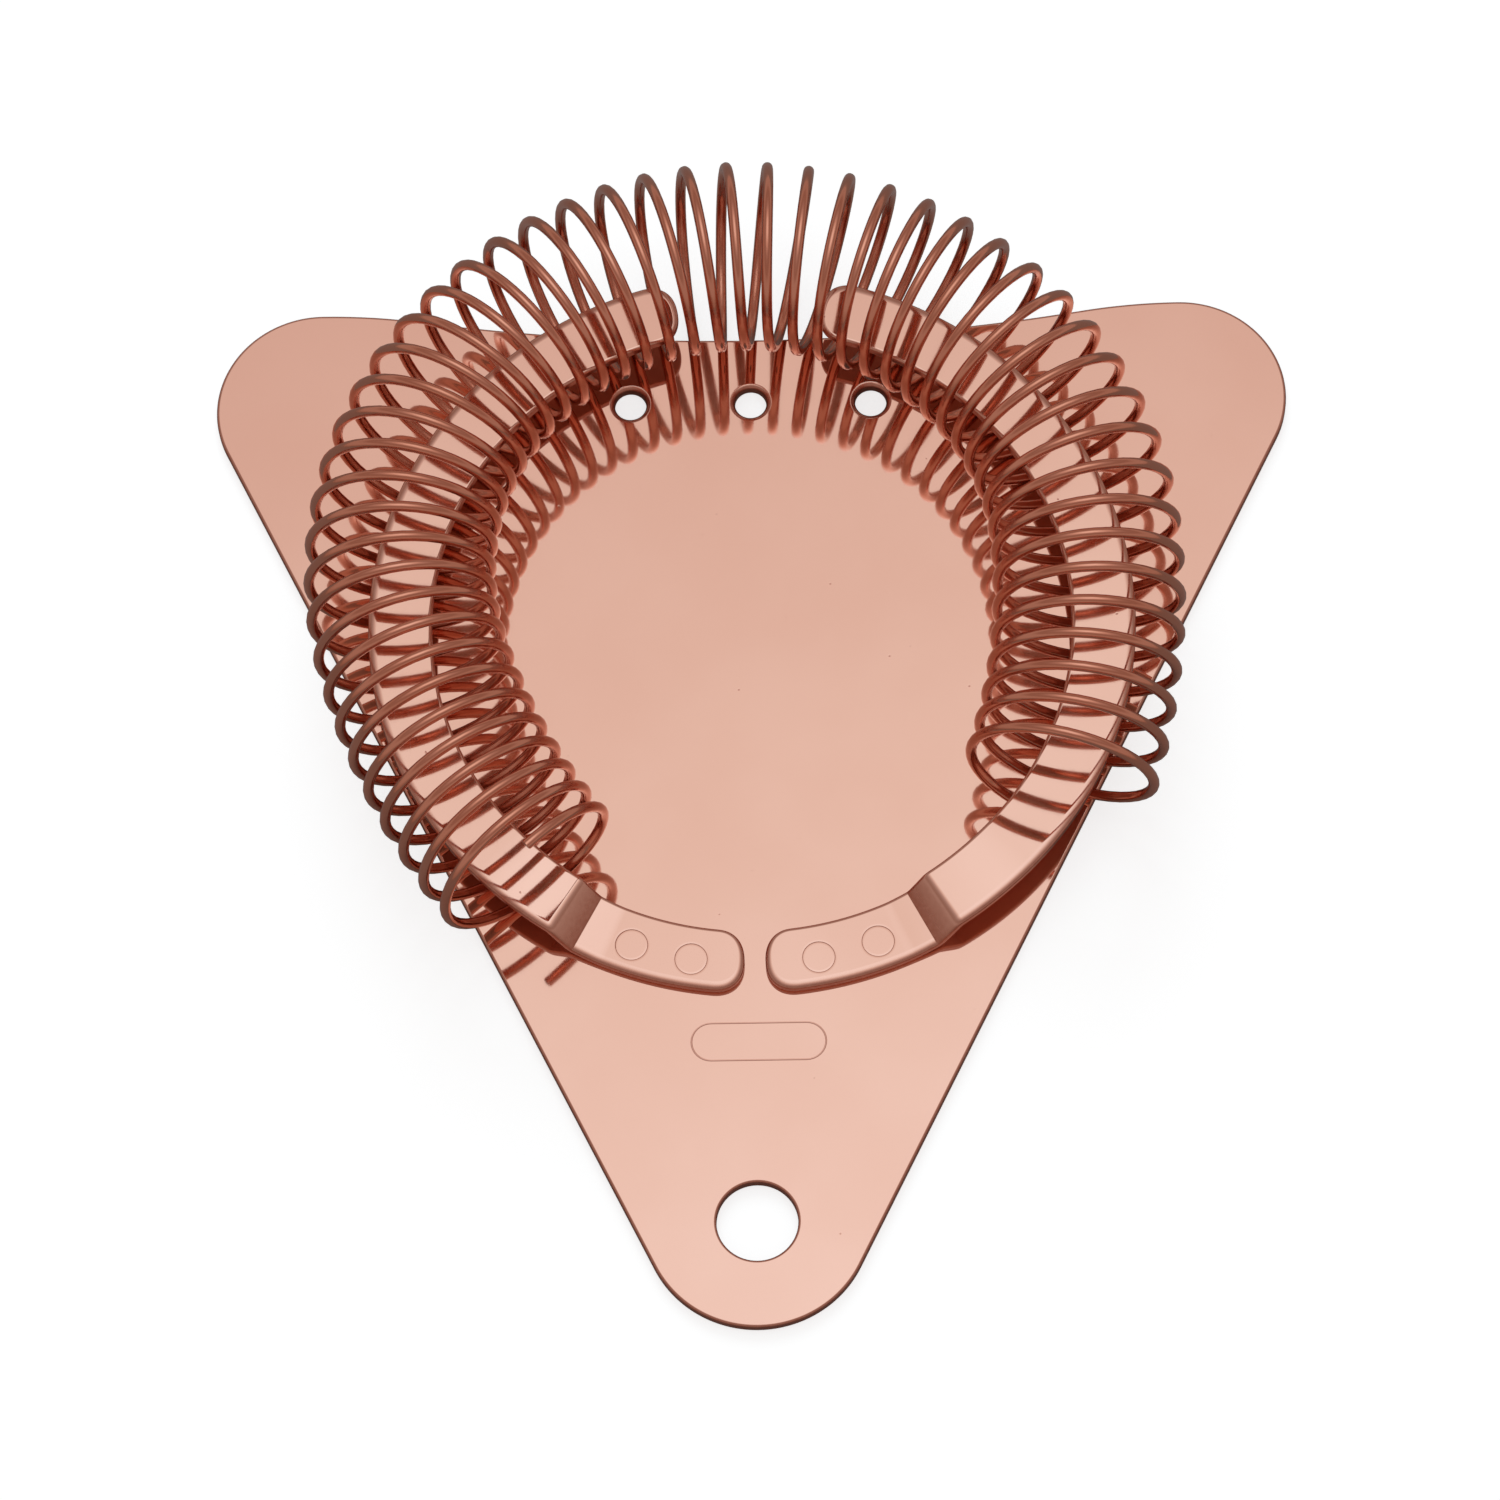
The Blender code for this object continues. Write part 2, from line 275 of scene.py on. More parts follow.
def circle(centre, radius, height, outward, upward, sides):
    """Places round a level circle, and normals that lean this far outward and upward."""
    places, normals = [], []
    for i in range(sides):
        dx, dy = polar(1.0, 360.0 * i / sides)
        places.append((centre[0] + radius * dx, centre[1] + radius * dy, height))
        normals.append((outward * dx, outward * dy, upward))
    return places, normals


def hole_loops(shell, centre, profile, sides):
    """Loops down a round hole from the top, from (radius, height, inward share, upward share) rows."""
    loops = []
    for radius, height, inward, upward in profile:
        places, normals = circle(centre, radius, height, -inward, upward, sides)
        loops.append(shell.loop(places, normals, wear_and_shade_at(inward, upward)))
    shell.bands(loops)
    return loops[0], loops[-1]


def hole_profile(radius, low, high, foot_rounding, top_rounding, steps=6):
    """A round hole's (radius, height, inward share, upward share) from the top to the underside."""
    rows = []
    for turn in reversed(quarter(steps)):
        c, s = math.cos(turn), math.sin(turn)
        rows.append((radius + top_rounding * (1 - c), high - top_rounding * (1 - s), c, s))
    for turn in quarter(steps):
        c, s = math.cos(turn), math.sin(turn)
        rows.append((radius + foot_rounding * (1 - c), low + foot_rounding * (1 - s), c, -s))
    return rows


def flank_rows(radius, shank, face, side, outside):
    """A countersunk head's flank, from its face to its shank. Side 1 is a top face and -1 an underside.

    Outside -1 gives the flank of the hole round it instead.
    """
    rows = []
    for turn in reversed(quarter(4)):
        inset, drop, outward, upward = rounded(RIVET_LIP_WIDTH, RIVET_LIP_DROP, turn)
        rows.append((radius - outside * inset, face - side * drop, outward, side * upward))
    rows.append((shank, face - side * RIVET_HEAD_DEPTH, 1.0, 0.0))
    return rows


def plate_outline(inset):
    """Points and outward directions round the plate, this far in from its edge, anticlockwise."""
    wing = (plate_high.x - WING_RADIUS, WING_CENTRE_Y)
    tail = (0.0, TAIL_CENTRE_Y)
    run = Vector(wing) - Vector(tail)
    side_normal = math.degrees(
        math.atan2(run.y, run.x) - math.acos((TAIL_RADIUS - WING_RADIUS) / run.length)
    )
    rise = wing[1] + WING_RADIUS - HOLLOW_Y
    both_radii = (wing[0] ** 2 + rise**2) / (2 * rise)
    shoulder_radius = both_radii - HOLLOW_RADIUS
    shoulder = (wing[0], wing[1] + WING_RADIUS - shoulder_radius)
    hollow = (0.0, HOLLOW_Y + HOLLOW_RADIUS)
    meeting = math.degrees(math.atan2(hollow[1] - shoulder[1], hollow[0] - shoulder[0]))
    right = []
    for centre, radius, start, end, steps, outward in (
        (tail, TAIL_RADIUS - inset, -90.0, side_normal, 30, 1),
        (wing, WING_RADIUS - inset, side_normal, 90.0, 60, 1),
        (shoulder, shoulder_radius - inset, 90.0, meeting, 14, 1),
        (hollow, HOLLOW_RADIUS + inset, meeting + 180.0, 270.0, 20, -1),
    ):
        for i in range(steps + 1):
            angle = start + (end - start) * i / steps
            dx, dy = polar(outward, angle)
            right.append((polar(radius, angle, centre), (dx, dy)))
    left = [((-x, y), (-dx, dy)) for (x, y), (dx, dy) in reversed(right[1:-1])]
    return right + left


def rivet_places():
    """Each rivet's name and place."""
    places = []
    for side_name, side in (("left", -1), ("right", 1)):
        for place_name, angle in zip(("inner", "outer"), RIVET_ANGLES):
            name = f"{side_name}_{place_name}_rivet"
            places.append((name, polar(RIVET_CIRCLE_RADIUS, -90.0 + side * angle)))
    return places


def stamp_outline(inset, steps=16):
    """The stamped pill's outline, this far in from its line."""
    radius = STAMP_WIDTH / 2
    half = STAMP_LENGTH / 2 - radius
    points = []
    for side, start in ((1, -90.0), (-1, 90.0)):
        for i in range(steps + 1):
            angle = start + 180.0 * i / steps
            x, y = polar(radius - inset, angle)
            points.append(((STAMP_CENTRE[0] + side * half + x, STAMP_CENTRE[1] + y), polar(1.0, angle)))
    return points


def plate_rim(shell, low, high):
    """Loops round the plate from its underside to its top. The first and last are returned."""
    loops = []
    edge = PLATE_EDGE_ROUNDING
    for inset, height, outward, upward in rim_profile(low, high, edge, edge, edge):
        points = plate_outline(inset)
        places = [(x, y, height) for (x, y), _ in points]
        normals = [(dx * outward, dy * outward, upward) for _, (dx, dy) in points]
        loops.append(shell.loop(places, normals, wear_and_shade_at(outward, upward)))
    shell.bands(loops)
    return loops[0], loops[-1]


def plate_holes(shell, low, high):
    """Top and bottom loops of the drain holes, the hang hole and the rivets' holes."""
    holes = []
    for step in (-1, 0, 1):
        holes.append(((step * DRAIN_HOLE_SPACING, DRAIN_HOLE_Y), DRAIN_HOLE_RADIUS, DRAIN_HOLE_ROUNDING))
    holes.append(((0.0, HANG_HOLE_Y), HANG_HOLE_RADIUS, HANG_HOLE_ROUNDING))
    pairs = []
    for centre, radius, top_rounding in holes:
        profile = hole_profile(radius, low, high, HOLE_FOOT_ROUNDING, top_rounding)
        pairs.append(hole_loops(shell, centre, profile, HOLE_SIDES))
    shank = RIVET_SHANK_RADIUS + RIVET_GAP
    for _, centre in rivet_places():
        profile = [(shank, high, 0.0, 1.0), (shank, high - SHANK_HOLE_EDGE, 1.0, 0.0)]
        profile += reversed(flank_rows(RIVET_HEAD_RADIUS, shank, low, -1, -1))
        pairs.append(hole_loops(shell, centre, profile, UNDERSIDE_RIVET_HOLE_SIDES))
    return pairs


def stamp_groove(shell, high, steps=8):
    """The groove of the stamped outline. Its outer and inner loops are returned."""
    loops = []
    for i in range(steps + 1):
        across = i / steps
        depth = STAMP_LINE_DEPTH * (1 - math.cos(2 * math.pi * across)) / 2
        slope = STAMP_LINE_DEPTH * math.pi / STAMP_LINE_WIDTH * math.sin(2 * math.pi * across)
        points = stamp_outline((across - 0.5) * STAMP_LINE_WIDTH)
        places = [(x, y, high - depth) for (x, y), _ in points]
        lean = 1.0 / math.hypot(1.0, slope)
        normals = [(-dx * slope * lean, -dy * slope * lean, lean) for _, (dx, dy) in points]
        # Painted shade along the groove, deepest at its middle
        loops.append(shell.loop(places, normals, STAMP_PAINTED_SHADE * math.sin(math.pi * across)))
    shell.bands(loops)
    return loops[0], loops[-1]


def build_plate(material):
    shell = Shell()
    rim_foot, rim_top = plate_rim(shell, plate_low.z, plate_high.z)
    holes = plate_holes(shell, plate_low.z, plate_high.z)
    groove_outer, groove_inner = stamp_groove(shell, plate_high.z)
    shell.fill(rim_top, [top for top, _ in holes] + [groove_outer], True)
    shell.fill(groove_inner, [], True)
    shell.fill(rim_foot, [foot for _, foot in holes], False)
    plate = shell.piece("polished_plate", material)
    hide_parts("strainer_plate")
    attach(plate, "plate")


def bend(turn, reach):
    """A line at 0 that bends into one of slope 1 at 0, the bend reaching this far each way."""
    if abs(turn) < reach:
        return (turn + reach) ** 2 / (4 * reach)
    return max(turn, 0.0)


def arm_underside(angle):
    """Height of an arm's underside where it is this many degrees round from +X towards +Y."""
    height = tab_foot
    slope = 0.0
    for (start, low, reach), (end, high, _) in zip(ARM_BENDS, ARM_BENDS[1:]):
        steeper = (high - low) / (end - start) - slope
        height += steeper * bend(angle - start, reach)
        slope += steeper
    return height


def arm_profile_at(s):
    """Height of the underside and the slope there, this far along the arm from +X."""
    step = 0.01 * MM
    low = arm_underside(math.degrees((s - step) / ARM_RADIUS))
    high = arm_underside(math.degrees((s + step) / ARM_RADIUS))
    return arm_underside(math.degrees(s / ARM_RADIUS)), (high - low) / (2 * step)


def bend_start():
    """Distance along an arm, from +X, at which its flat tab gives way to its first bend."""
    return math.radians(ARM_BENDS[0][0] - ARM_BENDS[0][2]) * ARM_RADIUS


def arm_stations():
    """Distances along an arm from its tab's round end to its tip, and half widths there."""
    half = ARM_WIDTH / 2
    start = math.radians(-90.0) * ARM_RADIUS + TAB_GAP / 2
    finish = math.radians(ARM_TIP_ANGLE) * ARM_RADIUS
    lift = bend_start()
    past_crest = math.radians(ARM_BENDS[2][0] + CREST_MARGIN) * ARM_RADIUS
    level = math.radians(ARM_BENDS[3][0] + ARM_BENDS[3][2]) * ARM_RADIUS
    end_steps = 22
    ends = []
    for i in range(end_steps):
        turn = math.pi / 2 * i / end_steps
        along = END_LENGTH * (1 - abs(math.cos(turn)) ** (2 / END_SQUARENESS))
        across = half * abs(math.sin(turn)) ** (2 / END_SQUARENESS)
        ends.append((along, across))
    stations = [(start + along, across) for along, across in ends]
    marks = (
        (start + END_LENGTH, lift, 12),
        (lift, past_crest, 80),
        (past_crest, level, 30),
        (level, finish - END_LENGTH, 140),
    )
    for begin, end, steps in marks:
        stations += [(begin + (end - begin) * i / steps, half) for i in range(steps)]
    stations += [(finish - along, across) for along, across in reversed(ends)]
    return stations


def arm_outline():
    """Points (along, out from the centre line) and outward directions round an arm, from its tab on."""
    stations = arm_stations()
    ring = [(s, -half) for s, half in stations]
    ring += [(s, half) for s, half in reversed(stations[1:-1])]
    points = np.array(ring)
    tangent = np.roll(points, -1, axis=0) - np.roll(points, 1, axis=0)
    tangent /= np.linalg.norm(tangent, axis=1)[:, None]
    outward = np.stack((tangent[:, 1], -tangent[:, 0]), axis=1)
    return points, outward


def arm_loops(shell, side, points, outward):
    """Loops round an arm from its underside to its top, on the right (side 1) or mirrored to the left."""
    loops = []
    rim = rim_profile(0.0, ARM_THICKNESS, ARM_FOOT_ROUNDING, ARM_CROWN_WIDTH, ARM_CROWN_DROP)
    for inset, height, out, up in rim:
        places, normals, wear_and_shade = [], [], []
        for (s, r), (ds, dr) in zip(points, outward):
            share = ARM_INNER_CROWN_SHARE + (1.0 - ARM_INNER_CROWN_SHARE) * (1.0 + dr) / 2
            s -= ds * inset * share
            r -= dr * inset * share
            base, slope = arm_profile_at(s)
            lean = 1.0 / math.hypot(1.0, slope)
            along = s - slope * lean * height
            x, y = polar(ARM_RADIUS + r, math.degrees(along / ARM_RADIUS))
            turn = along / ARM_RADIUS
            radial = Vector((math.cos(turn), math.sin(turn), 0.0))
            forward = Vector((-math.sin(turn) * lean, math.cos(turn) * lean, slope * lean))
            upward = Vector((math.sin(turn) * slope * lean, -math.cos(turn) * slope * lean, lean))
            normal = ((forward * ds + radial * dr) * out + upward * up * share).normalized()
            places.append((side * x, y, base + lean * height))
            normals.append((side * normal.x, normal.y, normal.z))
            # Painted shade on the joggle's ramp: a darker brown where it bends
            on_joggle = np.interp(math.degrees(s / ARM_RADIUS), JOGGLE_PAINTED_SHADE_ANGLES, JOGGLE_PAINTED_SHADE)
            wear_and_shade.append(max(wear_and_shade_at(out, up), on_joggle))
        if side > 0:
            places = [places[0]] + places[:0:-1]
            normals = [normals[0]] + normals[:0:-1]
            wear_and_shade = [wear_and_shade[0]] + wear_and_shade[:0:-1]
        loops.append(shell.loop(places, normals, wear_and_shade))
    shell.bands(loops)
    return loops


def tab_holes(shell, side):
    """Top and bottom loops of the rivets' holes in an arm's tab."""
    shank = RIVET_SHANK_RADIUS + RIVET_GAP
    pairs = []
    for _, centre in rivet_places():
        if centre[0] * side > 0:
            profile = flank_rows(RIVET_HEAD_RADIUS, shank, tab_foot + ARM_THICKNESS, 1, -1)
            profile += [(shank, tab_foot + SHANK_HOLE_EDGE, 1.0, 0.0), (shank, tab_foot, 0.0, -1.0)]
            pairs.append(hole_loops(shell, centre, profile, RIVET_SIDES))
    return pairs


def fill_arm(shell, loop, last, holes, up):
    """An arm's top or underside: one face with holes on the tab, to station last, and quads beyond it."""
    count = len(loop)
    tab = list(range(last + 1)) + list(range(count - last, count))
    shell.fill([loop[i] for i in tab], holes, up)
    for i in range(last, count // 2):
        a, b = loop[i], loop[i + 1]
        c, d = loop[(count - i - 1) % count], loop[(count - i) % count]
        corners = [a, b, c, d] if i + 1 != count - i - 1 else [a, b, d]
        if not up:
            corners.reverse()
        shell.faces.append(tuple(corners))


def build_arm(name, side, material):
    shell = Shell()
    points, outward = arm_outline()
    loops = arm_loops(shell, side, points, outward)
    holes = tab_holes(shell, side)
    slack = 0.01 * MM
    last = max(i for i in range(len(points) // 2) if points[i][0] < bend_start() + slack)
    fill_arm(shell, loops[-1], last, [top for top, _ in holes], True)
    fill_arm(shell, loops[0], last, [foot for _, foot in holes], False)
    arm = shell.piece(f"polished_{name}", material)
    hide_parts(name)
    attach(arm, "plate")


def build_rivet(name, centre, material):
    shell = Shell()
    head_radius = RIVET_HEAD_RADIUS - RIVET_GAP
    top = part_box(name)[1].z
    rows = flank_rows(head_radius, RIVET_SHANK_RADIUS, plate_low.z, -1, 1)
    rows += reversed(flank_rows(head_radius, RIVET_SHANK_RADIUS, top, 1, 1))
    loops = []
    for radius, height, outward, upward in rows:
        loops.append(shell.loop(*circle(centre, radius, height, outward, upward, RIVET_SIDES)))
    shell.bands(loops)
    shell.fill(loops[-1], [], True)
    shell.fill(loops[0], [], False)
    rivet = shell.piece(f"flush_{name}", material)
    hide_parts(name)
    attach(rivet, "plate")


def ring_point(distance):
    """Place and direction (degrees) on the coil's centre line, this far along it from its middle."""
    arc_length = RING_RADIUS * math.radians(RING_HALF_ANGLE)
    if abs(distance) <= arc_length:
        angle = 90.0 + math.degrees(distance / RING_RADIUS)
        return Vector(polar(RING_RADIUS, angle, (0.0, RING_OFFSET))), angle
    end = 90.0 + math.copysign(RING_HALF_ANGLE, distance)
    beyond = math.copysign(abs(distance) - arc_length, distance)
    angle = end + math.degrees(beyond / RING_END_RADIUS)
    centre = polar(RING_RADIUS - RING_END_RADIUS, end, (0.0, RING_OFFSET))
    return Vector(polar(RING_END_RADIUS, angle, centre)), angle


def coil_point(turn):
    """The wire's centre line this many turns from the right end, and the way out of the coil there."""
    spread = (COIL_LAST_PITCH - COIL_FIRST_PITCH) / (2 * COIL_TURNS)
    length = COIL_TURNS * (COIL_FIRST_PITCH + COIL_LAST_PITCH) / 2
    centre, direction = ring_point(COIL_FIRST_PITCH * turn + spread * turn**2 - length / 2)
    phase = math.radians(COIL_START_PHASE - 360.0 * turn)
    flat = math.radians(direction)
    out = Vector((
        math.cos(phase) * math.cos(flat),
        math.cos(phase) * math.sin(flat),
        math.sin(phase),
    ))
    return Vector((centre.x, centre.y, coil_height)) + coil_radius * out, out


def wire_sections():
    """Place, way out of the coil, tangent and share of the radius along the wire, from its right end."""
    rest = Matrix.Rotation(math.radians(SPRING_REST_TURN), 3, "Z")
    steps = round(COIL_TURNS * POINTS_PER_TURN)
    small = 0.002
    rows = []
    for i in range(steps + 1):
        turn = COIL_TURNS * i / steps
        place, out = coil_point(turn)
        ahead, behind = coil_point(turn + small)[0], coil_point(turn - small)[0]
        rows.append((rest @ place, rest @ out, (rest @ (ahead - behind)).normalized()))
    sections = [(rows[0], depth, share) for depth, share in WIRE_END]
    sections += [(row, 0.0, 1.0) for row in rows[1:-1]]
    sections += [(rows[-1], -depth, share) for depth, share in reversed(WIRE_END)]
    return [
        (place + tangent * shift, out, tangent, share)
        for (place, out, tangent), shift, share in sections
    ]


def build_spring(material):
    radius = WIRE_DIAMETER / 2
    spokes = [2 * math.pi * k / WIRE_SIDES for k in range(WIRE_SIDES)]
    shell = Shell()
    loops = []
    wire_places = []
    travelled = 0.0
    before = None
    for centre, out, tangent, share in wire_sections():
        outward = (out - tangent * out.dot(tangent)).normalized()
        across = tangent.cross(outward)
        normals = [outward * math.cos(angle) + across * math.sin(angle) for angle in spokes]
        loops.append(shell.loop([centre + way * radius * share for way in normals], normals))
        if before is not None:
            travelled += (centre - before).length
        before = centre
        for angle in spokes:
            wire_places += [travelled, math.cos(angle) * radius, math.sin(angle) * radius]
    shell.bands(loops)
    shell.faces.append(tuple(reversed(loops[0])))
    shell.faces.append(tuple(loops[-1]))
    spring = shell.piece("wound_spring", material)
    coordinates = spring.data.attributes.new("wire_place", "FLOAT_VECTOR", "POINT")
    coordinates.data.foreach_set("vector", wire_places)
    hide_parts("coil_spring")
    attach(spring, "spring")


class Nodes:
    """Short calls for building one material's or the world's node tree."""

    def __init__(self, tree):
        self.tree = tree

    def add(self, kind, inputs=(), **settings):
        node = self.tree.nodes.new("ShaderNode" + kind)
        for key, value in settings.items():
            setattr(node, key, value)
        for key, value in dict(inputs).items():
            if isinstance(value, bpy.types.NodeSocket):
                self.tree.links.new(value, node.inputs[key])
            else:
                node.inputs[key].default_value = value
        return node

    def math(self, operation, a, b=0.0, c=0.0):
        node = self.add("Math", {0: a, 1: b, 2: c}, operation=operation)
        return node.outputs[0]

    def noise(self, place, scale=1.0, detail=3.0):
        inputs = {"Vector": place, "Scale": scale, "Detail": detail, "Roughness": 0.5}
        return self.add("TexNoise", inputs).outputs["Fac"]

    def stretch(self, place, scale, turn=0.0):
        inputs = {"Vector": place, "Rotation": (0.0, 0.0, math.radians(turn)), "Scale": scale}
        return self.add("Mapping", inputs).outputs[0]

    def span(self, value, low, high, to_low, to_high, smooth=True):
        inputs = {0: value, 1: low, 2: high, 3: to_low, 4: to_high}
        kind = "SMOOTHSTEP" if smooth else "LINEAR"
        return self.add("MapRange", inputs, interpolation_type=kind).outputs[0]

    def mix(self, share, a, b):
        node = self.add("Mix", {0: share, 6: a, 7: b}, data_type="RGBA")
        return node.outputs[2]


def new_material(name):
    material = bpy.data.materials.new(name)
    material.use_nodes = True
    nodes = Nodes(material.node_tree)
    shader = material.node_tree.nodes["Principled BSDF"]
    shader.inputs["Metallic"].default_value = 1.0
    return material, nodes, shader


def connect(nodes, shader, colour, roughness, bump):
    nodes.tree.links.new(colour, shader.inputs["Base Color"])
    nodes.tree.links.new(roughness, shader.inputs["Roughness"])
    nodes.tree.links.new(bump, shader.inputs["Normal"])


def polished_copper(name, base, tint, roughness):
    """Copper plating polished to a mirror, with faint clouds, hairlines and pits, browner at worn edges, with
    painted shade on side walls, the joggle's ramp and the stamped groove, and painted light on the undersides.
    """
    material, nodes, shader = new_material(name)
    place = nodes.add("TexCoord").outputs["Object"]
    wear_and_shade = nodes.add("Attribute", attribute_name="edge_wear_and_shade").outputs["Fac"]
    clouds = nodes.noise(place, scale=55.0, detail=4.0)
    smears = nodes.noise(place, scale=260.0)
    grain = nodes.noise(place, scale=2400.0, detail=2.0)
    hair_a = nodes.noise(nodes.stretch(place, (9000.0, 260.0, 260.0), turn=14.0), detail=2.0)
    hair_b = nodes.noise(nodes.stretch(place, (260.0, 7000.0, 260.0), turn=9.0), detail=2.0)
    hair_a = nodes.span(hair_a, 0.62, 0.8, 0.0, 1.0)
    hair_b = nodes.span(hair_b, 0.64, 0.82, 0.0, 1.0)
    hairs = nodes.math("ADD", hair_a, hair_b)
    cells = nodes.add("TexVoronoi", {"Vector": place, "Scale": 900.0})
    close = nodes.span(cells.outputs["Distance"], 0.05, 0.13, 1.0, 0.0)
    pits = nodes.math("MULTIPLY", close, nodes.math("GREATER_THAN", cells.outputs["Color"], 0.87))
    colour = nodes.mix(nodes.span(clouds, 0.3, 0.7, 0.0, 1.0), base, tint)
    colour = nodes.mix(nodes.math("MULTIPLY", pits, 0.5), colour, WORN_AND_SHADED_COPPER)
    # Worn edges and painted shade: side walls, the joggle's ramp and the stamped groove are mixed towards the
    # dark brown
    worn_and_shaded = nodes.math("MINIMUM", wear_and_shade, 1.0)
    under = nodes.span(wear_and_shade, 1.0, 2.0, 0.0, 1.0)
    rubbed_and_shaded = nodes.math("MULTIPLY", worn_and_shaded, nodes.span(grain, 0.2, 0.8, 0.8, 1.0))
    colour = nodes.mix(rubbed_and_shaded, colour, WORN_AND_SHADED_COPPER)
    # Painted light: undersides take the duller copper, lighter than the dark brown of the side walls
    colour = nodes.mix(under, colour, DULL_AND_PAINTED_LIGHT_COPPER)
    rough = nodes.span(smears, 0.25, 0.75, roughness * 0.7, roughness * 1.35)
    rough = nodes.math("MULTIPLY_ADD", hairs, 0.03, rough)
    rough = nodes.math("MULTIPLY_ADD", worn_and_shaded, WORN_ROUGHNESS, rough)
    rough = nodes.math("MULTIPLY_ADD", under, DULL_ROUGHNESS, rough)
    waves = nodes.noise(place, scale=120.0, detail=1.0)
    height = nodes.math("MULTIPLY_ADD", hairs, -0.02, waves)
    height = nodes.math("MULTIPLY_ADD", pits, -0.8, height)
    bump = nodes.add("Bump", {"Strength": 1.0, "Distance": 0.006 * MM, "Height": height})
    connect(nodes, shader, colour, rough, bump.outputs[0])
    return material


def wire_copper(name):
    """Plated wire: fine lines drawn along it and slightly duller patches."""
    material, nodes, shader = new_material(name)
    place = nodes.add("Attribute", attribute_name="wire_place").outputs["Vector"]
    patches = nodes.noise(place, scale=90.0)
    lines = nodes.noise(nodes.stretch(place, (180.0, 9000.0, 9000.0)), detail=2.0)
    colour = nodes.mix(nodes.span(patches, 0.3, 0.7, 0.0, 1.0), *WIRE_COPPERS)
    rough = nodes.span(patches, 0.3, 0.7, *WIRE_ROUGHNESSES)
    rough = nodes.math("MULTIPLY_ADD", lines, WIRE_LINE_ROUGHNESS, rough)
    bump = nodes.add("Bump", {"Strength": 0.5, "Distance": 0.004 * MM, "Height": lines})
    connect(nodes, shader, colour, rough, bump.outputs[0])
    return material


def add_floor():
    mesh = bpy.data.meshes.new("floor")
    square = ((-1, -1), (1, -1), (1, 1), (-1, 1))
    corners = [(FLOOR_REACH * x, FLOOR_REACH * y, -FLOOR_DROP) for x, y in square]
    mesh.from_pydata(corners, [], [(0, 1, 2, 3)])
    floor = bpy.data.objects.new("floor", mesh)
    bpy.context.scene.collection.objects.link(floor)
    material = bpy.data.materials.new("pale_floor")
    material.use_nodes = True
    nodes = Nodes(material.node_tree)
    shader = material.node_tree.nodes["Principled BSDF"]
    shader.inputs["Base Color"].default_value = FLOOR_TONE
    shader.inputs["Roughness"].default_value = FLOOR_ROUGHNESS
    output = material.node_tree.nodes["Material Output"]
    glow = nodes.add("Emission", {"Color": (1.0, 1.0, 1.0, 1.0), "Strength": FLOOR_GLOW})
    both = nodes.add("AddShader", {0: shader.outputs[0], 1: glow.outputs[0]})
    seen = nodes.add("LightPath").outputs["Is Camera Ray"]
    dim = nodes.add("BsdfDiffuse", {"Color": FLOOR_REFLECTED_TONE})
    mixed = nodes.add("MixShader", {0: seen, 1: dim.outputs[0], 2: both.outputs[0]})
    nodes.tree.links.new(mixed.outputs[0], output.inputs["Surface"])
    mesh.materials.append(material)


def add_sky():
    """A sky that is the same all the way round its brightest part."""
    world = bpy.data.worlds.new("studio")
    bpy.context.scene.world = world
    world.use_nodes = True
    nodes = Nodes(world.node_tree)
    way = nodes.add("TexCoord").outputs["Generated"]
    axis = Vector(SKY_AXIS).normalized()
    rise = nodes.add("VectorMath", {0: way, 1: tuple(axis)}, operation="DOT_PRODUCT").outputs["Value"]
    ramp = nodes.add("ValToRGB", {0: rise})
    stops = ramp.color_ramp
    stops.interpolation = "LINEAR"
    while len(stops.elements) < len(SKY_LEVELS):
        stops.elements.new(0.5)
    for element, (where, level) in zip(stops.elements, SKY_LEVELS):
        element.position = where
        element.color = (*level, 1.0)
    background = world.node_tree.nodes["Background"]
    world.node_tree.links.new(ramp.outputs[0], background.inputs["Color"])


def add_lamp():
    light = bpy.data.lights.new("soft_light", "AREA")
    light.shape = "DISK"
    light.size = LAMP_DIAMETER
    light.energy = LAMP_ENERGY
    lamp = bpy.data.objects.new("soft_light", light)
    bpy.context.scene.collection.objects.link(lamp)
    lamp.location = LAMP_PLACE
    lamp.visible_glossy = False
    lamp.rotation_mode = "QUATERNION"
    lamp.rotation_quaternion = Vector(LAMP_PLACE).to_track_quat("Z", "Y")


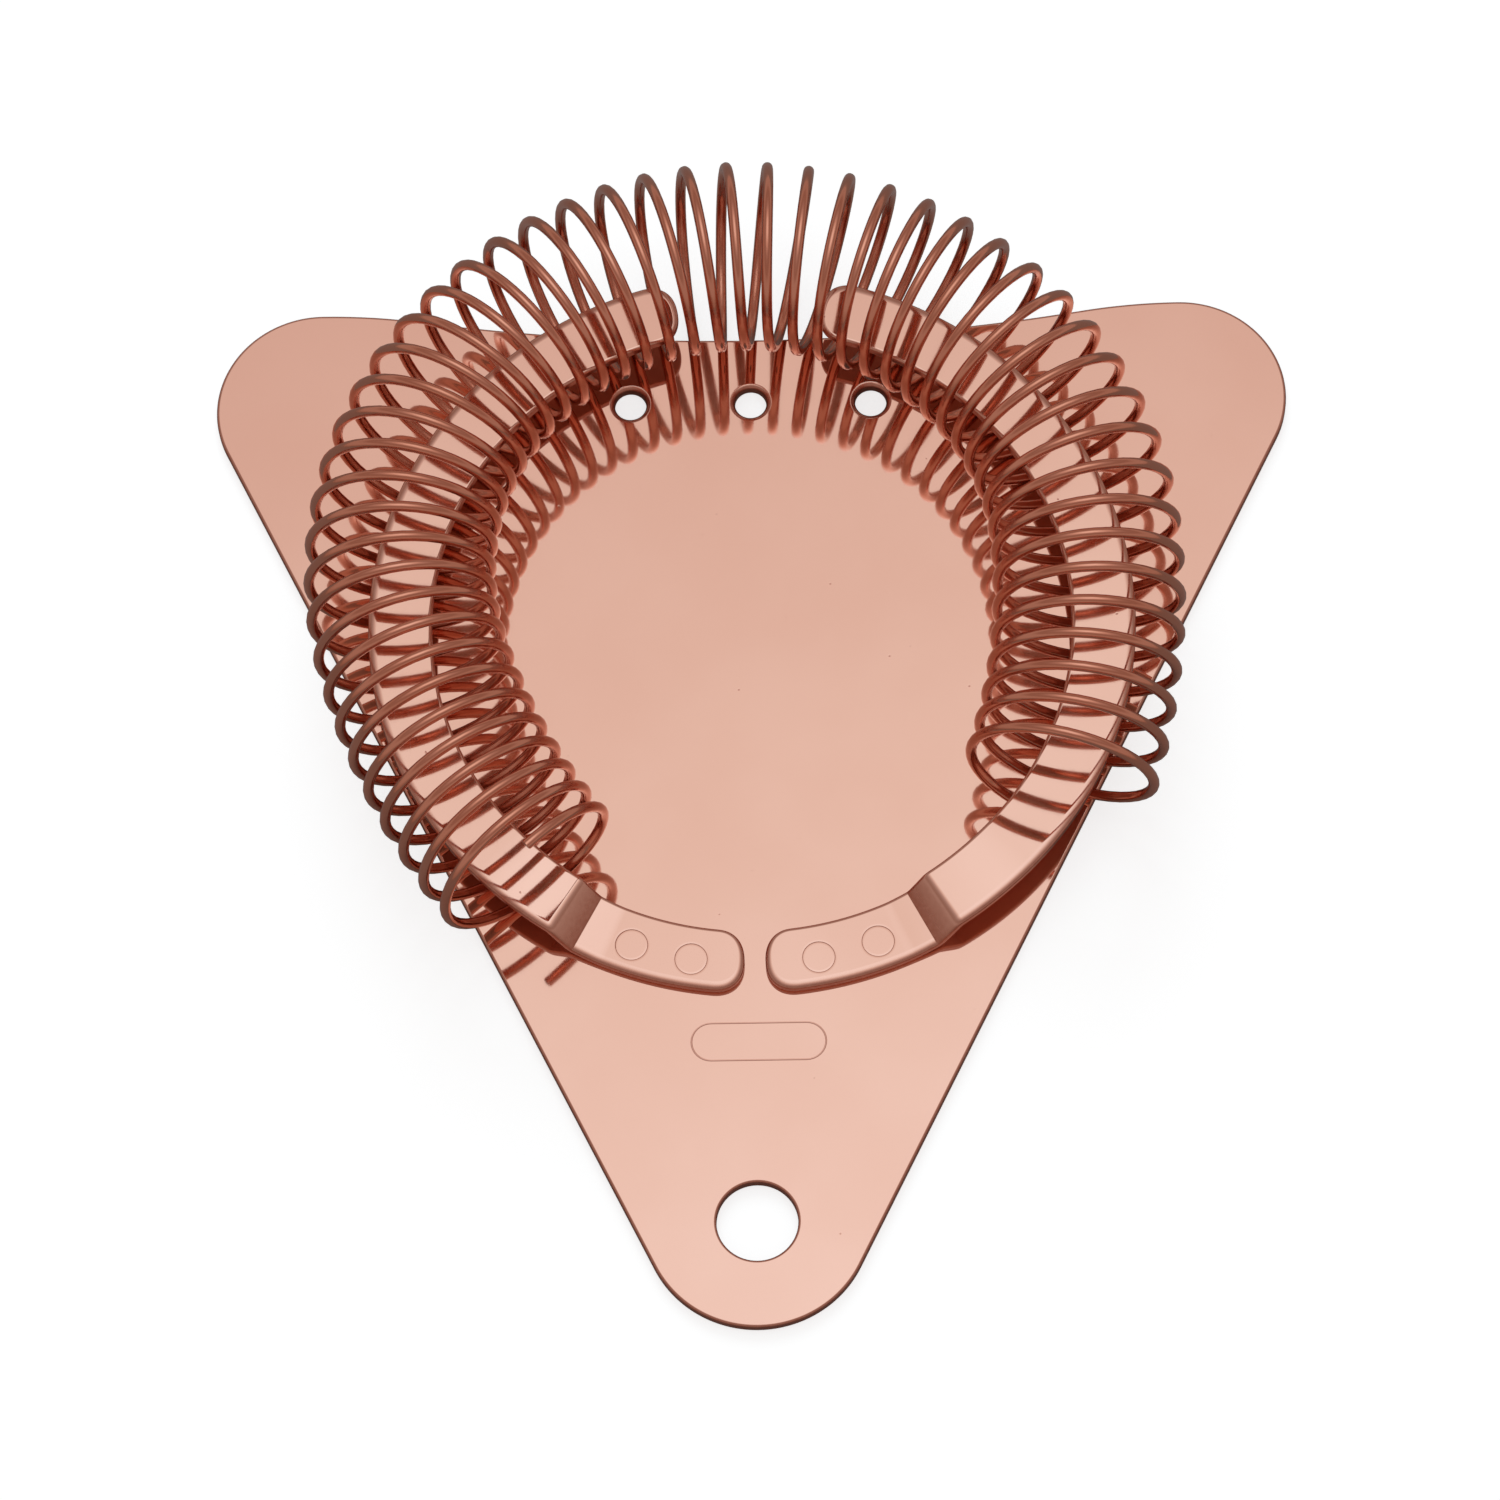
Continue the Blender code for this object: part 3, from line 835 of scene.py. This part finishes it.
def add_camera():
    tilt, azimuth = math.radians(CAMERA_TILT), math.radians(CAMERA_AZIMUTH)
    back = Vector((
        math.sin(azimuth) * math.sin(tilt),
        -math.cos(azimuth) * math.sin(tilt),
        math.cos(tilt),
    ))
    level = (-back).cross(Vector((0.0, 0.0, 1.0))).normalized()
    upright = level.cross(-back)
    roll = math.radians(CAMERA_ROLL)
    right = level * math.cos(roll) + upright * math.sin(roll)
    up = upright * math.cos(roll) - level * math.sin(roll)
    data = bpy.data.cameras.new("camera")
    data.lens = CAMERA_LENS
    data.sensor_width = CAMERA_SENSOR
    data.clip_start = CAMERA_NEAREST
    camera = bpy.data.objects.new("camera", data)
    bpy.context.scene.collection.objects.link(camera)
    turn = Matrix((right, up, back)).transposed().to_4x4()
    camera.matrix_world = Matrix.Translation(Vector(CAMERA_TARGET) + back * CAMERA_DISTANCE) @ turn
    bpy.context.scene.camera = camera


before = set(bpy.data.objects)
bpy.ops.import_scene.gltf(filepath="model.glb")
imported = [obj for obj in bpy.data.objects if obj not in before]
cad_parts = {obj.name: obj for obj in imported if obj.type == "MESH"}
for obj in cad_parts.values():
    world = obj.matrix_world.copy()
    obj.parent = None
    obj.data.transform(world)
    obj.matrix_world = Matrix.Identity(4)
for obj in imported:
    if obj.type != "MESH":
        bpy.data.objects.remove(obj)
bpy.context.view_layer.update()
plate_low, plate_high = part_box("strainer_plate")
spring_low, spring_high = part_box("coil_spring")
tab_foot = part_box("right_arm")[0].z
coil_height = (spring_low.z + spring_high.z) / 2
coil_radius = (spring_high.z - spring_low.z - WIRE_DIAMETER) / 2

add_camera()
mirror = polished_copper("mirror_copper", *MIRROR_COPPERS, MIRROR_ROUGHNESS)
build_plate(mirror)
for arm_name, arm_side in (("left_arm", -1), ("right_arm", 1)):
    build_arm(arm_name, arm_side, mirror)
for rivet_name, rivet_centre in rivet_places():
    build_rivet(rivet_name, rivet_centre, mirror)
build_spring(wire_copper("wire_copper"))
add_floor()
add_sky()
add_lamp()
bpy.context.scene.view_settings.view_transform = "Standard"
